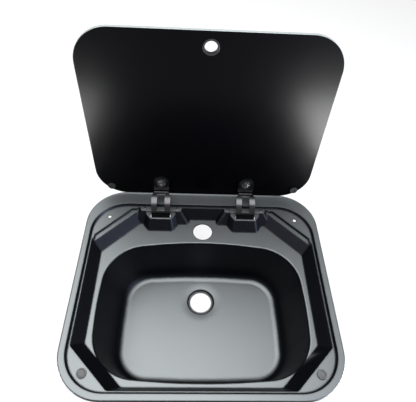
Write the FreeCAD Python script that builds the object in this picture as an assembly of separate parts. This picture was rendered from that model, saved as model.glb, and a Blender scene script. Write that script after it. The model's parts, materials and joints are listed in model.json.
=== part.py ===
"""Drop-in caravan sink in black coated steel, with a hinged lid of black toughened glass.

Millimetres. X points right, Y to the rear and Z up. The origin is the centre of the rim's outline, on the
worktop that the rim's seal rests on. The lid is drawn shut and then turned open about the hinge pins,
because the open lid is the rest position. Depths below the rim are positive numbers.
"""
import FreeCAD, Part
import math
import os

V = FreeCAD.Vector

# ---- rim ----------------------------------------------------------------------------------------------
RIM_WIDTH = 420.0
RIM_LENGTH = 370.0
RIM_CORNER_R = 70.0
RIM_RISE = 4.0
RIM_EDGE_R = 2.4
RIM_INNER_EDGE_R = 0.9
RIM_LIP_GAP = 0.4
SHEET = 1.0

# ---- recess that the shut lid lies in, from the widths of the rim round it -----------------------------
RIM_BAND = 10.0
RIM_REAR_BAND = 29.0
RECESS_SIDE = RIM_WIDTH / 2 - RIM_BAND
RECESS_FRONT = RIM_LENGTH / 2 - RIM_BAND
RECESS_REAR = RIM_LENGTH / 2 - RIM_REAR_BAND
RECESS_CORNER_INSET = 8.0
RECESS_CORNER_R = RIM_CORNER_R - RECESS_CORNER_INSET
RECESS_WALL_RUN = 3.0
LEDGE_DEPTH = 5.0
LEDGE_WIDTH = 1.5
REAR_PLATFORM_CUT = 62.5
REAR_STEP_DEPTH = 9.0
REAR_STEP_RUN = 1.4
REAR_STEP_INSET = 3.0

# ---- deck: the flat shelf round the bowl ---------------------------------------------------------------
DECK_DEPTH = 25.0
SLOPE_SIDE_RUN = 16.2
SLOPE_FRONT_RUN = 9.7
SLOPE_REAR_RUN = 13.0
DECK_SIDE = RECESS_SIDE - RECESS_WALL_RUN - LEDGE_WIDTH - SLOPE_SIDE_RUN
DECK_FRONT = RECESS_FRONT - RECESS_WALL_RUN - LEDGE_WIDTH - SLOPE_FRONT_RUN
DECK_REAR = RECESS_REAR - RECESS_WALL_RUN - LEDGE_WIDTH - SLOPE_REAR_RUN
DECK_REAR_CUT = 74.4
DECK_FRONT_CUT = 62.1
SLOPE_REAR_CUT = 71.5
SLOPE_FRONT_CUT = 61.5
OCTAGON_CORNER_R = 7.0

# ---- bowl: borders of the deck and drafts of the walls are measured at the middle of each side ---------
BOWL_DEPTH = 125.0
BOWL_SIDE_BORDER = 7.5
BOWL_FRONT_BORDER = 3.5
BOWL_REAR_BORDER = 47.2
BOWL_SIDE_BOW = 6.0
BOWL_REAR_BOW = 22.0
BOWL_FRONT_BOW = 12.4
BOWL_SIDE = DECK_SIDE - BOWL_SIDE_BORDER - BOWL_SIDE_BOW
BOWL_FRONT = DECK_FRONT - BOWL_FRONT_BORDER - BOWL_FRONT_BOW
BOWL_REAR = DECK_REAR - BOWL_REAR_BORDER - BOWL_REAR_BOW
BOWL_MIDDLE_Y = (BOWL_REAR - BOWL_FRONT) / 2
BOWL_CORNER_R = 72.0
BOWL_EDGE_R = 3.6
BOWL_SIDE_DRAFT = 25.3
BOWL_FRONT_DRAFT = 23.8
BOWL_REAR_DRAFT = 13.3
FLOOR_SIDE_BOW = 2.5
FLOOR_REAR_BOW = 7.0
FLOOR_FRONT_BOW = 4.5
FLOOR_SIDE = BOWL_SIDE + BOWL_SIDE_BOW - BOWL_SIDE_DRAFT - FLOOR_SIDE_BOW
FLOOR_FRONT = BOWL_FRONT + BOWL_FRONT_BOW - BOWL_FRONT_DRAFT - FLOOR_FRONT_BOW
FLOOR_REAR = BOWL_REAR + BOWL_REAR_BOW - BOWL_REAR_DRAFT - FLOOR_REAR_BOW
FLOOR_CORNER_R = 56.0
FLOOR_FILLET_R = 18.0
BOW_SHARE = 0.8
DISH_R = 42.0
DISH_DEPTH = 1.2

# ---- holes in the pressing -----------------------------------------------------------------------------
DRAIN_FROM_REAR_WALL = 59.0
DRAIN_Y = FLOOR_REAR + FLOOR_REAR_BOW - DRAIN_FROM_REAR_WALL
DRAIN_SEAT_R = 26.0
DRAIN_SEAT_DEPTH = 3.0
DRAIN_SEAT_RUN = 3.2
DRAIN_HOLE_R = 20.0
TAP_FROM_DECK_REAR = 27.0
TAP_Y = DECK_REAR - TAP_FROM_DECK_REAR
TAP_HOLE_R = 17.5
CORNER_HOLE_FROM_SIDE = 29.0
CORNER_HOLE_X = RECESS_SIDE - CORNER_HOLE_FROM_SIDE
REAR_HOLE_FROM_REAR = 28.5
REAR_HOLE_Y = RECESS_REAR - REAR_HOLE_FROM_REAR
REAR_HOLE_R = 3.0
FRONT_HOLE_FROM_FRONT = 27.4
FRONT_HOLE_Y = RECESS_FRONT - FRONT_HOLE_FROM_FRONT
FRONT_HOLE_R = 2.5

# ---- seal under the rim --------------------------------------------------------------------------------
SEAL_WIDTH = 6.0
SEAL_EDGE_INSET = 1.6

# ---- hinges: the pin, and the windowed arm that swings on it -------------------------------------------
HINGE_FROM_SIDE = 121.4
HINGE_X = RECESS_SIDE - HINGE_FROM_SIDE
PIVOT_BEHIND_RECESS = 8.6
PIVOT_Y = RECESS_REAR + PIVOT_BEHIND_RECESS
PIVOT_DEPTH = 12.8
OPEN_ANGLE = 94.3
ARM_INNER_R = 30.0
ARM_THICKNESS = 3.0
ARM_SPREAD = 34.6
ARM_BAND = 10.2
ARM_LEG_THICKNESS = 5.0
ARM_BRIDGE_ANGLE = 22.0
ARM_WINDOW_END = 152.0
ARM_SHOULDER_ANGLE = 10.0
ARM_BEAD_R = 1.3
ARM_BEAD_BEFORE_SPLIT = 4.0
ARM_CLEARANCE = 1.1
ARM_BORE_CLEARANCE = 0.06
BOSS_R = 5.2
PIN_R = 3.0
PIN_FIT = 0.05
PIN_HEAD_R = 4.5
PIN_HEAD = 1.5
PIN_GROOVE_R = 2.4
PIN_END = 1.2
PIN_CLIP_R = 5.0
PIN_CLIP = 0.8
PIN_CLIP_MOUTH = 3.84
PLATE_WIDTH = 28.0
PLATE_THICKNESS = 2.0
PAD_THICKNESS = 0.8
PLATE_BOLT_FROM_EDGE = 29.7

# ---- pockets and shelves for the hinges: half widths, and distances in front of the recess's rear wall --
POCKET_DEPTH = 6.5
POCKET_FRONT_HALF = 19.0
POCKET_FRONT = 29.5
POCKET_SHOULDER_HALF = 27.5
POCKET_SHOULDER = 18.5
POCKET_BASE_FRONT_HALF = 23.0
POCKET_BASE_FRONT = 44.0
POCKET_BASE_HALF = 32.5
POCKET_BASE_SHOULDER = 29.5
POCKET_CORNER_R = 6.0
POCKET_EDGE_R = 1.8
SHELF_HALF = 38.0
SHELF_FRONT = 12.0
SHELF_BASE_HALF = 53.5
SHELF_BASE_FRONT = 28.5
SHELF_EDGE_R = 1.5

# ---- brackets under the shelves, and their rivets ------------------------------------------------------
BRACKET_SHEET = 1.5
BRACKET_END_CLEARANCE = 1.0
BRACKET_FRONT_CLEARANCE = 0.3
BRACKET_HALF_WIDTH = SHELF_HALF - SHELF_EDGE_R - BRACKET_END_CLEARANCE
BRACKET_FRONT_Y = RECESS_REAR - SHELF_FRONT + SHELF_EDGE_R + BRACKET_FRONT_CLEARANCE
BRACKET_LENGTH = 6.4
BRACKET_REAR_Y = BRACKET_FRONT_Y + BRACKET_LENGTH
BRACKET_EAR_R = 6.0
RIVET_FROM_END = 5.0
RIVET_HALF_SPAN = BRACKET_HALF_WIDTH - RIVET_FROM_END
RIVET_Y = (BRACKET_FRONT_Y + BRACKET_REAR_Y) / 2
RIVET_R = 1.6
RIVET_HEAD_R = 2.6
RIVET_HEAD = 1.0
RIVET_FIT = 0.05
STOP_LIP = 2.0
STOP_GAP = 0.3

# ---- glass lid, drawn shut -----------------------------------------------------------------------------
GLASS_GAP = 5.0
GLASS_REAR_GAP = 11.0
GLASS_WIDTH = 2 * (RECESS_SIDE - GLASS_GAP)
GLASS_REAR_Y = RECESS_REAR - GLASS_REAR_GAP
GLASS_LENGTH = GLASS_REAR_Y + RECESS_FRONT - GLASS_GAP
GLASS_CORNER_INSET = 6.5
GLASS_CORNER_R = RECESS_CORNER_R - GLASS_CORNER_INSET
GLASS_THICKNESS = 5.0
GLASS_ARRIS = 0.6
GLASS_UNDERSIDE_DEPTH = 1.8
FINGER_HOLE_FROM_FRONT = 23.6
FINGER_HOLE_R = 10.6
FINGER_CLEAR_R = 9.2
FINGER_RING_R = 12.2
FINGER_RING_FLANGE = 0.9
GLASS_BOLT_HOLE_R = 4.5

# ---- fasteners of the hinge plate ----------------------------------------------------------------------
BOLT_R = 3.0
BOLT_HOLE_CLEARANCE = 0.2
NUT_FLATS = 10.0
NUT_HEIGHT = 3.6
NUT_FIT = 0.05
WASHER_R = 8.0
WASHER_THICKNESS = 1.0
CAP_R = 11.0
CAP_HEIGHT = 2.6
CAP_GASKET_R = 10.2
CAP_GASKET = 0.8
BOLT_TIP = 1.0

# ---- rubber buffers ------------------------------------------------------------------------------------
BUFFER_R = 7.0
BUFFER_EDGE_R = 0.8
BUFFER_GAP = 0.2
BUFFER_STEM_LENGTH = 4.0
BUFFER_BARB_R = 3.6
LID_BUFFER_R = 7.0
LID_BUFFER_FROM_SIDE = 25.0
LID_BUFFER_X = GLASS_WIDTH / 2 - LID_BUFFER_FROM_SIDE
LID_BUFFER_FROM_REAR = 18.5
FIT_GAP = 0.1

# ---- levels, worked out from the sizes above -------------------------------------------------------------
RIM_TOP = RIM_RISE
LEDGE_Z = RIM_TOP - LEDGE_DEPTH
DECK_Z = RIM_TOP - DECK_DEPTH
FLOOR_Z = RIM_TOP - BOWL_DEPTH
POCKET_Z = RIM_TOP - POCKET_DEPTH
DRAIN_Z = FLOOR_Z - DISH_DEPTH - DRAIN_SEAT_DEPTH
PIVOT_Z = RIM_TOP - PIVOT_DEPTH
GLASS_Z = RIM_TOP - GLASS_UNDERSIDE_DEPTH
GLASS_TOP_Z = GLASS_Z + GLASS_THICKNESS
PLATE_TOP_Z = GLASS_Z - PAD_THICKNESS
PLATE_Z = PLATE_TOP_Z - PLATE_THICKNESS
ARM_OUTER_R = ARM_INNER_R + ARM_THICKNESS
ARM_HALF = ARM_SPREAD / 2
BOLT_Y = GLASS_REAR_Y - PLATE_BOLT_FROM_EDGE
ABOVE = 10.0
SIDES = {"left": -1, "right": 1}


# ---- outlines --------------------------------------------------------------------------------------------
def rectangle(half_width, front, rear):
    """Corners of a rectangle, anticlockwise from the rear right."""
    return [(half_width, rear), (-half_width, rear), (-half_width, -front), (half_width, -front)]


def octagon(half_width, front, rear, front_cut, rear_cut):
    """Corners of a rectangle whose four corners are cut off at 45 degrees."""
    return [
        (half_width - rear_cut, rear),
        (rear_cut - half_width, rear),
        (-half_width, rear - rear_cut),
        (-half_width, front_cut - front),
        (front_cut - half_width, -front),
        (half_width - front_cut, -front),
        (half_width, front_cut - front),
        (half_width, rear - rear_cut),
    ]


def bowed_rectangle(half_width, front, rear, side_bow, front_bow, rear_bow, middle_y):
    """Corners of a rectangle with a blunt point in the middle of each side, which rounds to a bow."""
    return [
        (0.0, rear + rear_bow),
        (-half_width, rear),
        (-half_width - side_bow, middle_y),
        (-half_width, -front),
        (0.0, -front - front_bow),
        (half_width, -front),
        (half_width + side_bow, middle_y),
        (half_width, rear),
    ]


def grown(points, distance):
    """The same corners with every side moved outwards by a distance."""
    count = len(points)
    sides = []
    for index in range(count):
        (x0, y0), (x1, y1) = points[index], points[(index + 1) % count]
        length = math.hypot(x1 - x0, y1 - y0)
        normal = ((y1 - y0) / length, (x0 - x1) / length)
        sides.append((normal, normal[0] * x0 + normal[1] * y0 + distance))
    moved = []
    for index in range(count):
        (a, b), p = sides[index - 1]
        (c, d), q = sides[index]
        determinant = a * d - b * c
        moved.append(((p * d - b * q) / determinant, (a * q - p * c) / determinant))
    return moved


def turn_at(points, index):
    """Unit vectors into and out of a corner, and the angle that the outline turns by there."""
    count = len(points)
    here = V(*points[index], 0)
    before = (here - V(*points[index - 1], 0)).normalize()
    after = (V(*points[(index + 1) % count], 0) - here).normalize()
    return before, after, before.getAngle(after)


def bowed_radii(points, corner_r):
    """Radii for a bowed rectangle: its corners as given, its bows over most of what the corners leave."""
    radii = [corner_r] * len(points)
    for index in range(0, len(points), 2):
        free = []
        for corner in (index - 1, index + 1):
            side = math.dist(points[corner], points[index])
            free.append(side - corner_r * math.tan(turn_at(points, corner)[2] / 2))
        radii[index] = BOW_SHARE * min(free) / math.tan(turn_at(points, index)[2] / 2)
    return radii


def outline(points, radii, z):
    """A closed wire at height z through rounded corners. radii is one number or one for each corner."""
    if not isinstance(radii, (list, tuple)):
        radii = [radii] * len(points)
    arcs = []
    for index, point in enumerate(points):
        before, after, turn = turn_at(points, index)
        here = V(*point, z)
        reach = radii[index] * math.tan(turn / 2)
        start = here - before * reach
        end = here + after * reach
        to_centre = (after - before).normalize()
        middle = here + to_centre * (radii[index] / math.cos(turn / 2) - radii[index])
        arcs.append((start, middle, end))
    edges = []
    for index, (start, middle, end) in enumerate(arcs):
        edges.append(Part.Arc(start, middle, end).toShape())
        edges.append(Part.LineSegment(end, arcs[(index + 1) % len(arcs)][0]).toShape())
    return Part.Wire(edges)


def slab(points, radii, bottom, top):
    """A straight-sided block between two heights."""
    face = Part.Face(outline(points, radii, bottom))
    return face.extrude(V(0, 0, top - bottom))


def tapered(bottom_points, bottom_radii, bottom, top_points, top_radii, top):
    """A block whose outline changes in a straight line from the bottom to the top."""
    wires = [outline(bottom_points, bottom_radii, bottom), outline(top_points, top_radii, top)]
    return Part.makeLoft(wires, True, True)


def block(x0, x1, y0, y1, z0, z1):
    """A box between two corners."""
    return Part.makeBox(x1 - x0, y1 - y0, z1 - z0, V(x0, y0, z0))


def disc(radius, x, y, bottom, top):
    """An upright cylinder between two heights."""
    return Part.makeCylinder(radius, top - bottom, V(x, y, bottom))


def ring(outer, inner, x, y, bottom, top):
    """An upright tube between two heights."""
    return disc(outer, x, y, bottom, top).cut(disc(inner, x, y, bottom - 1, top + 1))


def level_edges(shape, z):
    """The edges of a shape that lie wholly at one height."""
    return [e for e in shape.Edges if abs(e.BoundBox.ZMin - z) < 0.01 and abs(e.BoundBox.ZMax - z) < 0.01]


def round_level(shape, z, radius):
    """Rounds every edge of a shape at one height."""
    return shape.makeFillet(radius, level_edges(shape, z))


# ---- the pressing ----------------------------------------------------------------------------------------
def lid_recess(grow):
    """Space between the rim and the corner platforms, where the shut lid lies."""
    top = grown(rectangle(RECESS_SIDE, RECESS_FRONT, RECESS_REAR), grow)
    bottom = grown(top, -RECESS_WALL_RUN)
    bottom_r = RECESS_CORNER_R - RECESS_WALL_RUN + grow
    space = tapered(bottom, bottom_r, LEDGE_Z - grow, top, RECESS_CORNER_R + grow, RIM_TOP)
    return space.fuse(slab(top, RECESS_CORNER_R + grow, RIM_TOP, RIM_TOP + ABOVE))


def ledge_octagon(rear_cut, inset):
    """Outline of the sunken part at the level of the ledge."""
    run = RECESS_WALL_RUN + LEDGE_WIDTH
    points = octagon(RECESS_SIDE - run, RECESS_FRONT - run, RECESS_REAR - run, SLOPE_FRONT_CUT, rear_cut)
    return grown(points, -inset)


def slopes(grow):
    """Space between the ledge and the deck, with cut corners."""
    top = grown(ledge_octagon(SLOPE_REAR_CUT, 0), grow)
    bottom = grown(octagon(DECK_SIDE, DECK_FRONT, DECK_REAR, DECK_FRONT_CUT, DECK_REAR_CUT), grow)
    corner_r = OCTAGON_CORNER_R + grow
    space = tapered(bottom, corner_r, DECK_Z - grow, top, corner_r, LEDGE_Z - grow)
    return space.fuse(slab(top, corner_r, LEDGE_Z - grow, LEDGE_Z + ABOVE / 2))


def rear_steps(grow):
    """Space of the narrow second step along the two rear corner platforms."""
    top = grown(ledge_octagon(REAR_PLATFORM_CUT, REAR_STEP_INSET), grow)
    bottom = grown(top, -REAR_STEP_RUN)
    floor = RIM_TOP - REAR_STEP_DEPTH - grow
    corner_r = OCTAGON_CORNER_R + grow
    space = tapered(bottom, corner_r - REAR_STEP_RUN, floor, top, corner_r, LEDGE_Z - grow)
    return space.fuse(slab(top, corner_r, LEDGE_Z - grow, LEDGE_Z + ABOVE / 2))


def hinge_pocket(x, grow):
    """Raised pocket in the rear slope that a hinge arm swings in, and the shelf for its rivets."""
    rear = RECESS_REAR + ABOVE
    corner_r = POCKET_CORNER_R - grow
    base_z = DECK_Z - grow

    def ledge(half, front):
        front_y = RECESS_REAR - front
        return grown([(x + half, rear), (x - half, rear), (x - half, front_y), (x + half, front_y)], -grow)

    def nose(front_half, front, shoulder_half, shoulder):
        points = [
            (x + shoulder_half, RECESS_REAR),
            (x - shoulder_half, RECESS_REAR),
            (x - shoulder_half, RECESS_REAR - shoulder),
            (x - front_half, RECESS_REAR - front),
            (x + front_half, RECESS_REAR - front),
            (x + shoulder_half, RECESS_REAR - shoulder),
        ]
        return grown(points, -grow)

    shelf = tapered(ledge(SHELF_BASE_HALF, SHELF_BASE_FRONT), corner_r, base_z,
                    ledge(SHELF_HALF, SHELF_FRONT), corner_r, LEDGE_Z - grow)
    top = nose(POCKET_FRONT_HALF, POCKET_FRONT, POCKET_SHOULDER_HALF, POCKET_SHOULDER)
    base = nose(POCKET_BASE_FRONT_HALF, POCKET_BASE_FRONT, POCKET_BASE_HALF, POCKET_BASE_SHOULDER)
    pocket = tapered(base, corner_r, base_z, top, corner_r, POCKET_Z - grow)
    pocket = round_level(pocket, POCKET_Z - grow, POCKET_EDGE_R - grow)
    shelf = round_level(shelf, LEDGE_Z - grow, SHELF_EDGE_R - grow)
    return shelf.fuse(pocket)


def bowl(grow):
    """Space inside the bowl, from the deck down, with a wide round at the floor."""
    top = grown(bowed_rectangle(BOWL_SIDE, BOWL_FRONT, BOWL_REAR, BOWL_SIDE_BOW, BOWL_FRONT_BOW,
                                BOWL_REAR_BOW, BOWL_MIDDLE_Y), grow)
    bottom = grown(bowed_rectangle(FLOOR_SIDE, FLOOR_FRONT, FLOOR_REAR, FLOOR_SIDE_BOW, FLOOR_FRONT_BOW,
                                   FLOOR_REAR_BOW, BOWL_MIDDLE_Y), grow)

    top_r = bowed_radii(top, BOWL_CORNER_R + grow)
    bottom_r = bowed_radii(bottom, FLOOR_CORNER_R + grow)
    space = tapered(bottom, bottom_r, FLOOR_Z - grow, top, top_r, DECK_Z - grow)
    space = round_level(space, FLOOR_Z - grow, FLOOR_FILLET_R + grow)
    return space.fuse(slab(top, top_r, DECK_Z - grow, DECK_Z + 1))


def floor_dish(grow):
    """Shallow dish in the floor that leads to the drain, and the drain's stepped seat."""
    sag_r = ((DISH_R - DRAIN_SEAT_R) ** 2 + DISH_DEPTH ** 2) / (2 * DISH_DEPTH)
    middle = DISH_R - (DISH_R - DRAIN_SEAT_R) / 2
    middle_drop = sag_r - math.sqrt(sag_r ** 2 - (DISH_R - middle) ** 2)
    floor = FLOOR_Z - grow
    seat_r = DRAIN_SEAT_R + grow / 2
    edge = V(DISH_R, 0, floor)
    inner = V(seat_r, 0, floor - DISH_DEPTH)
    foot = V(seat_r - DRAIN_SEAT_RUN, 0, DRAIN_Z - grow)
    profile = [
        Part.LineSegment(V(0, 0, floor + 1), V(DISH_R, 0, floor + 1)),
        Part.LineSegment(V(DISH_R, 0, floor + 1), edge),
        Part.Arc(edge, V(middle, 0, floor - middle_drop), inner),
        Part.LineSegment(inner, foot),
        Part.LineSegment(foot, V(0, 0, foot.z)),
        Part.LineSegment(V(0, 0, foot.z), V(0, 0, floor + 1)),
    ]
    face = Part.Face(Part.Wire([line.toShape() for line in profile]))
    dish = face.revolve(V(0, 0, 0), V(0, 0, 1), 360)
    return dish.translated(V(0, DRAIN_Y, 0))


def cavity(grow):
    """Everything above the pressed sheet; grown by the sheet's thickness it is the underside's shape."""
    space = slopes(grow).fuse(rear_steps(grow))
    for x in (-HINGE_X, HINGE_X):
        space = space.cut(hinge_pocket(x, grow))
    space = space.removeSplitter()
    space = space.fuse(lid_recess(grow))
    space = space.fuse(bowl(grow).fuse(floor_dish(grow))).removeSplitter()
    deck_z = DECK_Z - grow
    mouth = [edge for edge in level_edges(space, deck_z) if in_bowl_mouth(edge, grow)]
    return space.makeFillet(BOWL_EDGE_R - grow, mouth)


def in_bowl_mouth(edge, grow):
    """Whether an edge at deck level belongs to the bowl's mouth."""
    box = edge.BoundBox
    reach_x = BOWL_SIDE + BOWL_SIDE_BOW + grow
    rear = BOWL_REAR + BOWL_REAR_BOW + grow
    front = -BOWL_FRONT - BOWL_FRONT_BOW - grow
    return box.XMin > -reach_x and box.XMax < reach_x and box.YMax < rear and box.YMin > front


def rim_plate():
    """The rim before it is hollowed: a plate with a turned-down edge."""
    outer = rectangle(RIM_WIDTH / 2, RIM_LENGTH / 2, RIM_LENGTH / 2)
    plate = slab(outer, RIM_CORNER_R, RIM_LIP_GAP, RIM_TOP)
    plate = round_level(plate, RIM_TOP, RIM_EDGE_R)
    inner = grown(outer, -SHEET)
    hollow = slab(inner, RIM_CORNER_R - SHEET, RIM_LIP_GAP - ABOVE, RIM_TOP - SHEET)
    hollow = round_level(hollow, RIM_TOP - SHEET, RIM_EDGE_R - SHEET)
    return plate.cut(hollow)


def arm_slot(x):
    """Slot in the pocket's top that one hinge's arm swings through, bead and all."""
    outer = ARM_OUTER_R + ARM_BEAD_R + ARM_CLEARANCE
    inner = ARM_INNER_R - ARM_CLEARANCE
    front = PIVOT_Y - math.sqrt(outer ** 2 - (POCKET_Z - SHEET - PIVOT_Z) ** 2)
    rear = PIVOT_Y - math.sqrt(inner ** 2 - (POCKET_Z - PIVOT_Z) ** 2)
    half = ARM_HALF + ARM_CLEARANCE
    return block(x - half, x + half, front, rear, POCKET_Z - 2 * SHEET, POCKET_Z + SHEET)


def recess_edges(shape):
    """The edges round the mouth of the recess, at the top of the rim."""
    top = level_edges(shape, RIM_TOP)
    return [edge for edge in top if max(abs(edge.BoundBox.XMin), abs(edge.BoundBox.XMax)) < RECESS_SIDE + 1
            and edge.BoundBox.YMin > -RECESS_FRONT - 1 and edge.BoundBox.YMax < RECESS_REAR + 1]


def pressing():
    """The one-piece pressing: rim, recess, deck and bowl."""
    skin = cavity(SHEET)
    half_x, half_y = RIM_WIDTH / 2, RIM_LENGTH / 2
    keep = block(-half_x, half_x, -half_y, half_y, RIM_TOP - 2 * BOWL_DEPTH, RIM_TOP)
    body = skin.common(keep).fuse(rim_plate()).cut(cavity(0))
    body = body.makeFillet(RIM_INNER_EDGE_R, recess_edges(body))
    cutters = [disc(TAP_HOLE_R, 0, TAP_Y, DECK_Z - ABOVE, DECK_Z + 1)]
    cutters.append(disc(DRAIN_HOLE_R, 0, DRAIN_Y, DRAIN_Z - ABOVE, DRAIN_Z + 1))
    for x in (-CORNER_HOLE_X, CORNER_HOLE_X):
        cutters.append(disc(REAR_HOLE_R, x, REAR_HOLE_Y, LEDGE_Z - ABOVE / 2, LEDGE_Z + 1))
        cutters.append(disc(FRONT_HOLE_R, x, -FRONT_HOLE_Y, LEDGE_Z - ABOVE / 2, LEDGE_Z + 1))
    for x in (-HINGE_X, HINGE_X):
        cutters.append(arm_slot(x))
        for rivet_x in (x - RIVET_HALF_SPAN, x + RIVET_HALF_SPAN):
            cutters.append(disc(RIVET_R, rivet_x, RIVET_Y, LEDGE_Z - 2 * SHEET, LEDGE_Z + 1))
    return body.cut(cutters)


# ---- seal ------------------------------------------------------------------------------------------------
def rim_seal():
    """Foam strip between the rim and the worktop."""
    outer = grown(rectangle(RIM_WIDTH / 2, RIM_LENGTH / 2, RIM_LENGTH / 2), -SHEET - SEAL_EDGE_INSET)
    inner = grown(outer, -SEAL_WIDTH)
    outer_r = RIM_CORNER_R - SHEET - SEAL_EDGE_INSET
    strip = slab(outer, outer_r, 0, RIM_TOP - SHEET)
    return strip.cut(slab(inner, outer_r - SEAL_WIDTH, -1, RIM_TOP))


# ---- lid -------------------------------------------------------------------------------------------------
def opened(shape):
    """A piece of the shut lid, turned about the hinge pins to where it stands open."""
    turned = shape.copy()
    turned.rotate(V(0, PIVOT_Y, PIVOT_Z), V(1, 0, 0), -OPEN_ANGLE)
    return turned


def glass():
    """Toughened glass panel with ground edges, a finger hole and a hole for each hinge bolt."""
    front = GLASS_LENGTH - GLASS_REAR_Y
    panel = slab(rectangle(GLASS_WIDTH / 2, front, GLASS_REAR_Y), GLASS_CORNER_R, GLASS_Z, GLASS_TOP_Z)
    panel = panel.makeChamfer(GLASS_ARRIS, level_edges(panel, GLASS_Z) + level_edges(panel, GLASS_TOP_Z))
    cutters = [disc(FINGER_HOLE_R, 0, finger_y(), GLASS_Z - 1, GLASS_TOP_Z + 1)]
    for x in (-HINGE_X, HINGE_X):
        cutters.append(disc(GLASS_BOLT_HOLE_R, x, BOLT_Y, GLASS_Z - 1, GLASS_TOP_Z + 1))
    return panel.cut(cutters)


def finger_y():
    """Where the centre of the finger hole lies on the shut lid."""
    return GLASS_REAR_Y - GLASS_LENGTH + FINGER_HOLE_FROM_FRONT


def finger_ring():
    """Flanged ring that lines the finger hole."""
    y = finger_y()
    low = GLASS_Z - FINGER_RING_FLANGE
    high = GLASS_TOP_Z + FINGER_RING_FLANGE
    body = disc(FINGER_HOLE_R - FIT_GAP, 0, y, low, high)
    body = body.fuse(disc(FINGER_RING_R, 0, y, low, GLASS_Z))
    body = body.fuse(disc(FINGER_RING_R, 0, y, GLASS_TOP_Z, high)).removeSplitter()
    body = body.cut(disc(FINGER_CLEAR_R, 0, y, low - 1, high + 1))
    edges = level_edges(body, low) + level_edges(body, high)
    return body.makeFillet(FINGER_RING_FLANGE / 2, edges)


def plate_outline(x):
    """Corners of the plate that is bolted to the glass; its front end is nearly a half circle."""
    half = PLATE_WIDTH / 2
    points = rectangle(half, half - BOLT_Y, bridge_y())
    return [(x + px, py) for px, py in points]


def bridge_y():
    """Where the arm's inner face meets the top of the plate on the shut lid."""
    return PIVOT_Y - math.sqrt(ARM_INNER_R ** 2 - (PLATE_TOP_Z - PIVOT_Z) ** 2)


def plate_slab(x, bottom, top):
    """A layer with the plate's outline, with the bolt's hole through it."""
    end_r = PLATE_WIDTH / 2 - FIT_GAP
    layer = slab(plate_outline(x), [FIT_GAP, FIT_GAP, end_r, end_r], bottom, top)
    return layer.cut(disc(BOLT_R + BOLT_HOLE_CLEARANCE, x, BOLT_Y, bottom - 1, top + 1))


def about_pin(radius, degrees, x):
    """A point at a radius and an angle about the pin; 0 points to the rear and 90 straight up."""
    angle = math.radians(degrees)
    return V(x, PIVOT_Y + radius * math.cos(angle), PIVOT_Z + radius * math.sin(angle))


def arc_band(outer, inner, start, end, x, half_width):
    """Part of a tube about the pin, between two angles."""
    left = x - half_width
    middle = (start + end) / 2
    edges = [
        Part.Arc(about_pin(outer, start, left), about_pin(outer, middle, left), about_pin(outer, end, left)),
        Part.LineSegment(about_pin(outer, end, left), about_pin(inner, end, left)),
        Part.Arc(about_pin(inner, end, left), about_pin(inner, middle, left), about_pin(inner, start, left)),
        Part.LineSegment(about_pin(inner, start, left), about_pin(outer, start, left)),
    ]
    face = Part.Face(Part.Wire([edge.toShape() for edge in edges]))
    return face.extrude(V(2 * half_width, 0, 0))


def rod(radius, x0, x1, y=PIVOT_Y, z=PIVOT_Z):
    """A cylinder along X; by default it lies on the hinge's axis."""
    return Part.makeCylinder(radius, x1 - x0, V(x0, y, z), V(1, 0, 0))


def leg_top():
    """Upper side of the arm's straight leg when the lid stands open, just under the bracket's stop."""
    return LEDGE_Z - SHEET - BRACKET_SHEET - STOP_LIP - STOP_GAP


def hinge_arm(x):
    """Goose-neck arm: plate under the glass, bead, window between two bands, and two bored ends."""
    leg_bottom = leg_top() - ARM_LEG_THICKNESS
    tail = 180 + math.degrees(math.asin((PIVOT_Z - leg_bottom) / ARM_OUTER_R))
    rise = math.degrees(math.asin((PLATE_TOP_Z - PIVOT_Z) / ARM_INNER_R))
    crown = 180 - OPEN_ANGLE - rise
    neck = arc_band(ARM_OUTER_R, ARM_INNER_R, crown + OPEN_ANGLE, tail + OPEN_ANGLE, x, ARM_HALF)
    above_plate = block(x - ARM_SPREAD, x + ARM_SPREAD, BOLT_Y, PIVOT_Y, PLATE_TOP_Z, PLATE_TOP_Z + ABOVE)
    arm = opened(neck.cut(above_plate).fuse(plate_slab(x, PLATE_Z, PLATE_TOP_Z)))
    split = crown + ARM_BRIDGE_ANGLE
    window_half = ARM_HALF - ARM_BAND
    outside = ARM_OUTER_R + ARM_THICKNESS
    inside = ARM_INNER_R - ARM_THICKNESS
    arm = arm.cut(arc_band(outside, inside, split, ARM_WINDOW_END, x, window_half))
    for side in (-1, 1):
        centre = x + side * (ARM_HALF - ARM_BAND / 2)
        low, high = centre - ARM_BAND / 2, centre + ARM_BAND / 2
        reach = (ARM_INNER_R + ARM_OUTER_R) / 2
        arm = arm.fuse(block(low, high, PIVOT_Y - reach, PIVOT_Y, leg_bottom, leg_top()))
        arm = arm.fuse(rod(BOSS_R, low, high))
        arm = arm.cut(shoulder_cut(x, side, split))
    bead_centre = about_pin(ARM_OUTER_R, split - ARM_BEAD_BEFORE_SPLIT, x)
    half_bead = PLATE_WIDTH / 2 - ARM_BEAD_R
    bead = rod(ARM_BEAD_R, x - half_bead, x + half_bead, bead_centre.y, bead_centre.z)
    arm = arm.fuse(bead).cut(rod(PIN_R + ARM_BORE_CLEARANCE, x - ARM_HALF - 1, x + ARM_HALF + 1))
    return arm.removeSplitter()


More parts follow.
